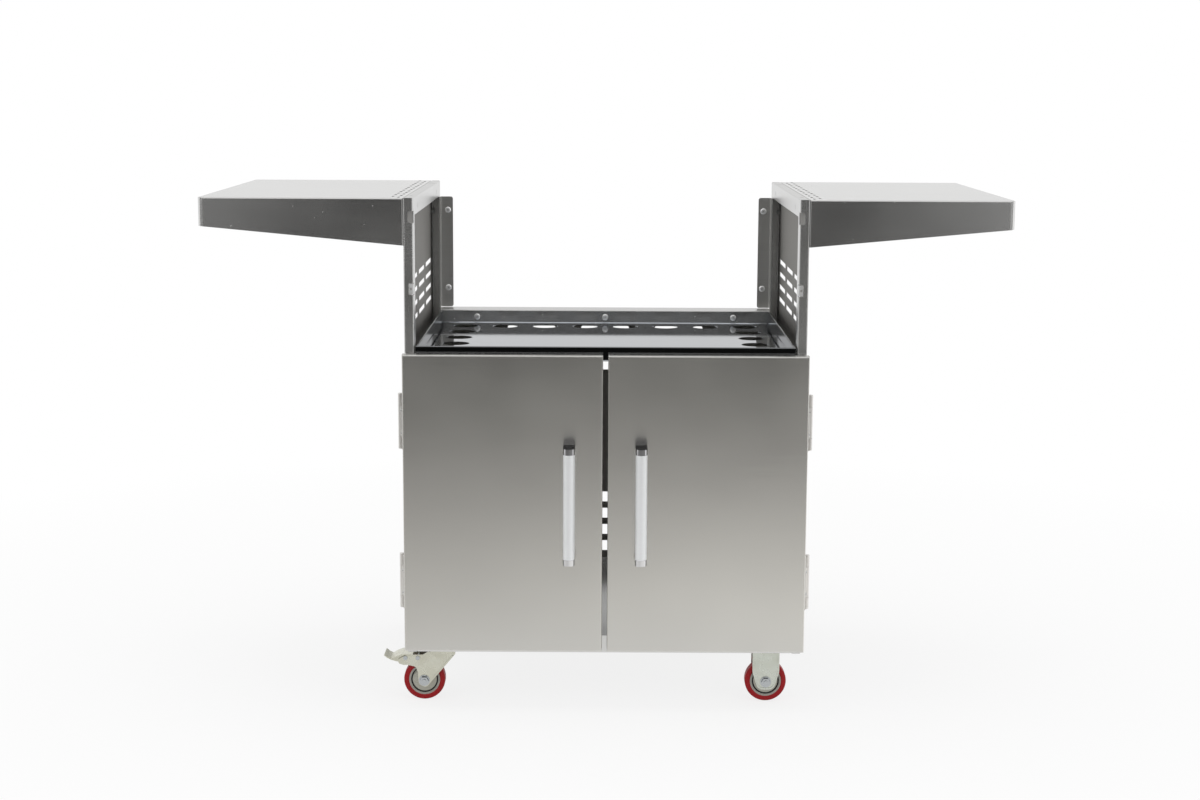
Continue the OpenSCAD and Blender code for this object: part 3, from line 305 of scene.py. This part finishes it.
def polyurethane(name, colour, roughness):
    """Cast tread: slightly glossy, with paler and duller scuffs."""
    tree = Tree(name)
    cloud = tree.noise(55.0, detail=4.0)
    scuff = tree.noise(240.0, detail=4.0, shift=7.7)
    paint = tree.shades(cloud, colour, 0.85, 1.12)
    paint = tree.mix(tree.remap(scuff, 0.62, 0.8, 0.0, 0.35), paint, SCUFF_COLOUR)
    gloss = tree.remap(scuff, 0.3, 0.75, roughness - 0.06, roughness + 0.2)
    tree.fixed(Subsurface_Weight=0.05, Subsurface_Scale=0.002, Specular_IOR_Level=0.3)
    return tree.finish(paint, gloss, tree.bump(scuff, SCUFF_DEPTH, 0.4))


STEEL = (0.68, 0.678, 0.67)
PANEL = tinted(STEEL, 0.92)
MATERIALS = {}


def define(name, kind, colour, roughness, **settings):
    MATERIALS[name] = kind(name, colour, roughness, **settings)


define("cabinet_steel", brushed_steel, STEEL, 0.225, stretch=0.8, grain=0.5, dust=0.3, rim=0.92)
define("panel_steel", brushed_steel, PANEL, 0.26, stretch=0.8, grain=0.2, dust=0.15, rim=0.85)
define("door_steel", brushed_steel, (0.65, 0.64, 0.612), 0.25, along=0, stretch=0.75, grain=0.4)
define("inner_steel", brushed_steel, (0.6, 0.595, 0.575), 0.38)
# A darker, duller copy of the cabinet steel: painted shade for the inside of the bay
define("bay_steel", brushed_steel, (0.44, 0.43, 0.41), 0.4, grain=0.5, rim=0.35)
define("hinge_steel", brushed_steel, (0.78, 0.765, 0.74), 0.42, along=2, grain=0.5)
define("tray_steel", bright_steel, (0.55, 0.575, 0.61), 0.05, ripple=SHEET_RIPPLE, rim=0.7)
# A dark copy of the tray steel: painted shade on the tray's walls
define("tray_wall_steel", bright_steel, (0.22, 0.225, 0.23), 0.06, ripple=SHEET_RIPPLE, rim=0.7)
define("screw_steel", bright_steel, (0.9, 0.9, 0.9), 0.4, ripple=SMALL_RIPPLE)
define("axle_steel", bright_steel, (0.46, 0.48, 0.49), 0.22, ripple=SMALL_RIPPLE)
define("bright_fasteners", bright_steel, (0.66, 0.67, 0.67), 0.15, ripple=SMALL_RIPPLE)
define("handle_polish", bright_steel, (0.66, 0.66, 0.68), 0.05, ripple=SHEET_RIPPLE, rim=0.3)
define("handle_satin", satin_tube, (0.9, 0.915, 0.93), 0.5)
define("zinc", plated_zinc, (0.6, 0.605, 0.53), 0.26)
define("rigid_zinc", plated_zinc, (0.58, 0.615, 0.57), 0.26)
define("cover_zinc", plated_zinc, (0.35, 0.35, 0.31), 0.3)
define("tread", polyurethane, (0.34, 0.003, 0.006), 0.42)
define("hub_plastic", moulded, (0.36, 0.35, 0.31), 0.42)
define("catch_plastic", moulded, (0.03, 0.03, 0.032), 0.4)
define("seal_rubber", moulded, (0.012, 0.012, 0.013), 0.5)
# Near black: painted shade inside the drain slots
define("cut_edge", moulded, (0.05, 0.048, 0.045), 0.6)


# Dressing the nodes

# Nodes, by the end of their names, that take another shade than their slot's, to match the
# photograph's tones
OWN_FINISH = {
    "side_panel": "panel_steel",
    # The back panel takes the darker steel: painted shade inside the bay
    "back_panel": "bay_steel",
    # The tray's walls take a dark copy of the tray steel: painted shade
    "tray_walls": "tray_wall_steel",
    "_leaves": "hinge_steel",
    "hinge_pins": "hinge_steel",
    "pan_head_screws": "screw_steel",
    "clip_nuts": "screw_steel",
    "axle": "axle_steel",
    "rigid_axles": "axle_steel",
    "brake_gear": "axle_steel",
    "rigid_forks": "rigid_zinc",
    "wheel_covers": "cover_zinc",
}


def dress(piece, finish):
    piece.data.materials.clear()
    piece.data.materials.append(MATERIALS[finish])


def dress_faces(piece, finish, chosen):
    """Gives the faces whose centre and normal pass chosen a second finish."""
    piece.data.materials.append(MATERIALS[finish])
    for face in piece.data.polygons:
        if chosen(face.center, face.normal):
            face.material_index = len(piece.data.materials) - 1


def finish_of(row):
    for ending, finish in OWN_FINISH.items():
        if row["node"].endswith(ending):
            return finish
    return row["material_slot"]


for row in frame["record"]["subparts"]:
    dress(NODES[row["node"]], finish_of(row))

SHEET_T = 1.2 * MM
DRAIN_STRIP = 32 * MM     # strip beside the side panel's skin that holds the drain slots
TRAY_FLANGE = 46 * MM     # depth of the flange behind the tray's rear wall
UPRIGHT = 0.3             # largest upward share of an upright face's normal
INWARD = 0.9              # least share of the normal of a face that looks into the bay

shelf_low, shelf_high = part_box("right_shelf")
tray_back_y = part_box("tray_walls")[1].y - TRAY_FLANGE
panel_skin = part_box("right_side_panel")[1].x


def is_drain_edge(centre, normal):
    in_strip = shelf_low.x + 2 * SHEET_T < abs(centre.x) < shelf_low.x + DRAIN_STRIP
    return in_strip and abs(normal.z) < UPRIGHT and shelf_high.z - SHEET_T < centre.z < shelf_high.z


def is_tray_back(centre, normal):
    return centre.y > tray_back_y - 2 * SHEET_T


def is_bay_face(centre, normal):
    inward = centre.x * normal.x < -INWARD * abs(centre.x)
    return inward and abs(centre.x) > panel_skin - 2 * SHEET_T


# The walls of the drain slots take a near black finish: painted shade inside the slots
for node in ("left_shelf", "right_shelf"):
    dress_faces(NODES[node], "cut_edge", is_drain_edge)

# The tray's rear wall and flange take the side panels' finish, not the painted shade of its other walls
dress_faces(NODES["tray_walls"], "panel_steel", is_tray_back)

# The side panels' faces that look into the bay take a darker steel: painted shade inside the bay, to match
# the photograph's tone
for node in ("left_side_panel", "right_side_panel"):
    dress_faces(NODES[node], "bay_steel", is_bay_face)


# Small detail

RING_STEPS = 96


def drawn(name, build):
    """A new mesh piece whose form is drawn in place by build."""
    mesh = bpy.data.meshes.new(name)
    form = bmesh.new()
    build(form)
    form.to_mesh(mesh)
    form.free()
    piece = bpy.data.objects.new(name, mesh)
    bpy.context.scene.collection.objects.link(piece)
    return piece


def added(name, build, finish, body):
    """A new piece of the object, which moves with a body."""
    piece = drawn(name, build)
    dress(piece, finish)
    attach(piece, body)


def add_ring(form, centre, outline):
    """Revolves an outline of (radius, offset along y) about the y axis through centre."""
    turns = []
    for step in range(RING_STEPS):
        angle = math.tau * step / RING_STEPS
        across, up = math.cos(angle), math.sin(angle)
        turns.append([form.verts.new((centre.x + r * across, centre.y + y, centre.z + r * up))
                      for r, y in outline])
    for one, two in zip(turns, turns[1:] + turns[:1]):
        for k in range(len(outline)):
            after = (k + 1) % len(outline)
            form.faces.new([one[k], two[k], two[after], one[after]]).smooth = True


def add_block(form, centre, size, turn=0.0):
    """A block of the given size, turned about the y axis."""
    block = bmesh.ops.create_cube(form, size=1.0)
    place = Matrix.Translation(centre) @ Matrix.Rotation(turn, 4, "Y") @ Matrix.Diagonal((*size, 1.0))
    bmesh.ops.transform(form, matrix=place, verts=block["verts"])


# Rubber seals in the groove between the hub's rim and the dust covers
RIM_T = 3.6 * MM
SEAL_W = 2.3 * MM
SEAL_BACK = 7.2 * MM      # distances from the middle of the wheel
SEAL_CROWN = 9.6 * MM
SEAL_EDGE = SEAL_CROWN - 0.5 * MM


def wheel_seals(wheel):
    low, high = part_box(wheel + "_hub")
    middle = (low + high) / 2
    outer = (high.z - low.z) / 2 - RIM_T
    inner = outer - SEAL_W
    outline = ((inner, SEAL_BACK), (inner, SEAL_EDGE), ((inner + outer) / 2, SEAL_CROWN),
               (outer, SEAL_EDGE), (outer, SEAL_BACK))

    def build(form):
        for side in (-1, 1):
            add_ring(form, middle, [(r, side * y) for r, y in outline])
        bmesh.ops.recalc_face_normals(form, faces=form.faces)
    added(wheel + "_seals", build, "seal_rubber", wheel + "_wheel")


for wheel in ("front_left", "rear_left", "front_right", "rear_right"):
    wheel_seals(wheel)


# Crosses on the pan head screws: thin bars of a darker steel, painted shade that stands for the recesses
CROSS_L = 3.2 * MM
CROSS_W = 0.6 * MM
CROSS_PROUD = 0.04 * MM
CROSS_SEED = 7


def loose_boxes(piece):
    """The box of each separate shell of a mesh, as (low, high), in the order of the mesh."""
    form = bmesh.new()
    form.from_mesh(piece.data)
    left = set(form.verts)
    for first in form.verts:
        if first not in left:
            continue
        left.remove(first)
        queue = [first]
        low, high = first.co.copy(), first.co.copy()
        while queue:
            vert = queue.pop()
            for axis in range(3):
                low[axis] = min(low[axis], vert.co[axis])
                high[axis] = max(high[axis], vert.co[axis])
            for edge in vert.link_edges:
                other = edge.other_vert(vert)
                if other in left:
                    left.remove(other)
                    queue.append(other)
        yield low, high
    form.free()


def painted_recess_shade():
    shells = list(loose_boxes(NODES["pan_head_screws"]))
    chance = random.Random(CROSS_SEED)
    quarter = math.pi / 2

    def build(form):
        for low, high in shells:
            centre = ((low.x + high.x) / 2, low.y - CROSS_PROUD + CROSS_W / 2, (low.z + high.z) / 2)
            turn = chance.uniform(0.0, quarter)
            for bar_turn in (turn, turn + quarter):
                add_block(form, centre, (CROSS_L, CROSS_W, CROSS_W), bar_turn)
    added("painted_recess_shade", build, "inner_steel", "cabinet")


painted_recess_shade()


# Folded corners: the closed seam beside the outer end of each shelf skirt
SEAM_IN = 10 * MM
SEAM_W = 0.5 * MM
SEAM_PROUD = 0.03 * MM
SKIRT_OUTER_H = 50 * MM
BEND = 2.4 * MM


def shelf_seams():
    length = SKIRT_OUTER_H - BEND
    seam_y = shelf_low.y - SEAM_PROUD + SEAM_W / 2
    seam_z = shelf_high.z - BEND - length / 2

    def build(form):
        for side in (-1, 1):
            add_block(form, (side * (shelf_high.x - SEAM_IN), seam_y, seam_z), (SEAM_W, SEAM_W, length))
    added("shelf_seams", build, "inner_steel", "cabinet")


shelf_seams()


# Eased edges on the end blocks of the handles
EASED = 0.7 * MM
EASED_ABOVE = math.radians(50)

for node in ("left_handle_posts", "right_handle_posts"):
    bevel = NODES[node].modifiers.new("eased", "BEVEL")
    bevel.width = EASED
    bevel.segments = 2
    bevel.limit_method = "ANGLE"
    bevel.angle_limit = EASED_ABOVE


# Camera

CAMERA_AT = (-0.00964, -3.69646, 1.12308)
CAMERA_PITCH = math.radians(9.265)
CAMERA_ROLL = math.radians(0.282)
CAMERA_LENS = 59.57
CAMERA_SENSOR = 36.0
CAMERA_REACH = 100.0


def make_camera():
    right = Vector((1, 0, 0))
    up = Vector((0, math.sin(CAMERA_PITCH), math.cos(CAMERA_PITCH)))
    back = right.cross(up)
    rolled_right = right * math.cos(CAMERA_ROLL) + up * math.sin(CAMERA_ROLL)
    rolled_up = up * math.cos(CAMERA_ROLL) - right * math.sin(CAMERA_ROLL)
    data = bpy.data.cameras.new("camera")
    data.sensor_fit = "HORIZONTAL"
    data.sensor_width = CAMERA_SENSOR
    data.lens = CAMERA_LENS
    data.clip_end = CAMERA_REACH
    camera = bpy.data.objects.new("camera", data)
    turn = Matrix((rolled_right, rolled_up, back)).transposed()
    camera.matrix_world = Matrix.Translation(CAMERA_AT) @ turn.to_4x4()
    bpy.context.scene.collection.objects.link(camera)
    bpy.context.scene.camera = camera


make_camera()


# Room

WORLD_LEVEL = 0.62
BARE_WHITE = 1.0
WHITE = (BARE_WHITE,) * 3
FLOOR_HALF = 30.0
FLOOR_COLOUR = (0.85, 0.85, 0.85)
FLOOR_FADE = (0.6, 2.2)       # distances from the cart between which the floor turns to plain white
FLOOR_WHITE_NEAR = 0.8        # share of plain white under the cart


def seen_share(node_tree):
    """1 for the rays that see the background: from the camera, off gloss, or through glass."""
    path = node_tree.nodes.new("ShaderNodeLightPath")
    total = path.outputs["Is Camera Ray"]
    for name in ("Is Glossy Ray", "Is Transmission Ray"):
        node = node_tree.nodes.new("ShaderNodeMath")
        node.operation = "MAXIMUM"
        node_tree.links.new(total, node.inputs[0])
        node_tree.links.new(path.outputs[name], node.inputs[1])
        total = node.outputs["Value"]
    return total


def shared_shader(node_tree, share, one, two):
    """Shader one where share is 0 and shader two where it is 1."""
    node = node_tree.nodes.new("ShaderNodeMixShader")
    for source, socket in zip((share, one, two), node.inputs):
        node_tree.links.new(source, socket)
    return node.outputs[0]


def make_world():
    world = bpy.data.worlds.new("studio")
    world.use_nodes = True
    bpy.context.scene.world = world
    node_tree = world.node_tree
    lit = node_tree.nodes["Background"]
    seen = node_tree.nodes.new("ShaderNodeBackground")
    for background, level in ((lit, WORLD_LEVEL), (seen, BARE_WHITE)):
        background.inputs["Color"].default_value = (*WHITE, 1.0)
        background.inputs["Strength"].default_value = level
    shader = shared_shader(node_tree, seen_share(node_tree), lit.outputs[0], seen.outputs[0])
    node_tree.links.new(shader, node_tree.nodes["World Output"].inputs["Surface"])


def stage_piece(name, build, material):
    piece = drawn(name, build)
    piece.data.materials.append(material)
    return piece


def floor_material():
    """Pale floor that keeps the shadow near the cart and fades to the white background."""
    tree = Tree("floor")
    diffuse = tree.add("ShaderNodeBsdfDiffuse")
    diffuse.inputs["Color"].default_value = (*FLOOR_COLOUR, 1.0)
    white = tree.add("ShaderNodeEmission")
    white.inputs["Strength"].default_value = BARE_WHITE
    node_tree = tree.material.node_tree
    far = tree.remap(tree.length(tree.place), *FLOOR_FADE, FLOOR_WHITE_NEAR, 1.0)
    share = tree.math("MULTIPLY", far, seen_share(node_tree))
    return tree.show(shared_shader(node_tree, share, diffuse.outputs[0], white.outputs[0]))


def make_floor():
    def build(form):
        corners = [(-1, -1), (1, -1), (1, 1), (-1, 1)]
        form.faces.new([form.verts.new((x * FLOOR_HALF, y * FLOOR_HALF, 0.0)) for x, y in corners])
    stage_piece("floor", build, floor_material())


# The dark surround lies on the floor in front of the cart and rises far behind the camera. Only
# reflections see it: it gives the upright sheets their fall from bright to dark. Towards the
# sides it fades to the white of the room.
SURROUND_NEAR = 0.75
SURROUND_FAR = 12.0
SURROUND_STEPS = 96
SURROUND_OVER_FLOOR = 2 * MM
SURROUND_RISE = 5.0
SURROUND_TINT = (1.0, 0.988, 0.955)
# Share of the way to SURROUND_FAR, and the level there
SURROUND_STOPS = ((0.11, 0.88), (0.15, 0.64), (0.2, 0.3), (0.27, 0.09), (0.37, 0.014), (1.0, 0.01))
SURROUND_EDGE = (0.1, 0.5)    # forward shares of the direction where it begins and where it is full
SURROUND_TILT = (0.95, 1.2)   # level to the left and to the right
TILT_ASIDE = 0.25             # sideways share of the direction where the tilt is full
GLOW_ASIDE = (0.19, 0.26)     # sideways shares of the direction between which white mixes in,
GLOW_REACH = (5.0, 9.0)       # distances between which it does,
GLOW_MOST = 0.32              # and its largest share


def surround_ramp(tree, distance):
    """The colour of the surround by distance."""
    ramp = tree.add("ShaderNodeValToRGB")
    points = ramp.color_ramp.elements
    for index, (at, level) in enumerate(SURROUND_STOPS):
        point = points[index] if index < len(points) else points.new(at)
        point.position = at
        point.color = (*tinted(SURROUND_TINT, level), 1.0)
    tree.link(tree.math("DIVIDE", distance, SURROUND_FAR), ramp.inputs["Fac"])
    return ramp.outputs["Color"]


def surround_material():
    tree = Tree("surround")
    flatten = tree.add("ShaderNodeVectorMath", operation="MULTIPLY")
    flatten.inputs[1].default_value = (1.0, 1.0, 0.0)
    tree.link(tree.place, flatten.inputs[0])
    distance = tree.length(flatten.outputs[0])
    apart = tree.add("ShaderNodeSeparateXYZ")
    tree.link(tree.place, apart.inputs[0])
    ahead = tree.math("DIVIDE", tree.math("MULTIPLY", apart.outputs["Y"], -1.0), distance)
    aside = tree.math("DIVIDE", apart.outputs["X"], distance)
    far_side = tree.math("MULTIPLY",
                         tree.remap(tree.math("ABSOLUTE", aside), *GLOW_ASIDE, 0.0, GLOW_MOST),
                         tree.remap(distance, *GLOW_REACH))
    colour = tree.mix(far_side, surround_ramp(tree, distance), WHITE)
    colour = tree.mix(tree.remap(ahead, *SURROUND_EDGE), WHITE, colour)
    glow = tree.add("ShaderNodeEmission")
    tree.link(colour, glow.inputs["Color"])
    tree.link(tree.remap(aside, -TILT_ASIDE, TILT_ASIDE, *SURROUND_TILT), glow.inputs["Strength"])
    return tree.show(glow.outputs[0])


def make_surround():
    profile = ((SURROUND_NEAR, SURROUND_OVER_FLOOR), (SURROUND_FAR, SURROUND_OVER_FLOOR),
               (SURROUND_FAR, SURROUND_RISE))

    def build(form):
        fans = []
        for step in range(SURROUND_STEPS + 1):
            angle = math.pi * step / SURROUND_STEPS
            x, y = math.cos(angle), -math.sin(angle)
            fans.append([form.verts.new((x * reach, y * reach, z)) for reach, z in profile])
        for one, two in zip(fans, fans[1:]):
            for k in range(len(profile) - 1):
                form.faces.new([one[k], one[k + 1], two[k + 1], two[k]])
    piece = stage_piece("surround", build, surround_material())
    piece.visible_camera = False
    piece.visible_diffuse = False
    piece.visible_transmission = False
    piece.visible_volume_scatter = False
    piece.visible_shadow = False


make_world()
make_floor()
make_surround()


# Lamps

OVERHEAD_AT = (0.0, 0.1, 2.7)
OVERHEAD_AIM = (0.0, 0.1, 0.0)
OVERHEAD_SIZE = (3.4, 2.4)
OVERHEAD_LEVEL = 1.5
FRONT_AT = (2.6, -2.4, 1.9)       # the one on the right; the other is its mirror image
FRONT_AIM = (0.0, 0.0, 0.5)
FRONT_SIZE = (1.4, 2.0)
FRONT_LEVEL = 1.6


def softbox(name, at, aim, size, level):
    """Area lamp at one place, aimed at another. Its energy goes with its area, so a larger lamp of
    the same level is no brighter to look at."""
    data = bpy.data.lights.new(name, "AREA")
    data.shape = "RECTANGLE"
    data.size, data.size_y = size
    data.energy = level * math.pi * data.size * data.size_y
    lamp = bpy.data.objects.new(name, data)
    lamp.location = at
    lamp.rotation_mode = "QUATERNION"
    lamp.rotation_quaternion = (Vector(at) - Vector(aim)).to_track_quat("Z", "Y")
    bpy.context.scene.collection.objects.link(lamp)
    return lamp


overhead = softbox("overhead", OVERHEAD_AT, OVERHEAD_AIM, OVERHEAD_SIZE, OVERHEAD_LEVEL)
overhead.visible_glossy = False
front_x, front_y, front_z = FRONT_AT
for name, side in (("front_left", -1), ("front_right", 1)):
    softbox(name, (side * front_x, front_y, front_z), FRONT_AIM, FRONT_SIZE, FRONT_LEVEL)

bpy.context.scene.view_settings.view_transform = "Standard"
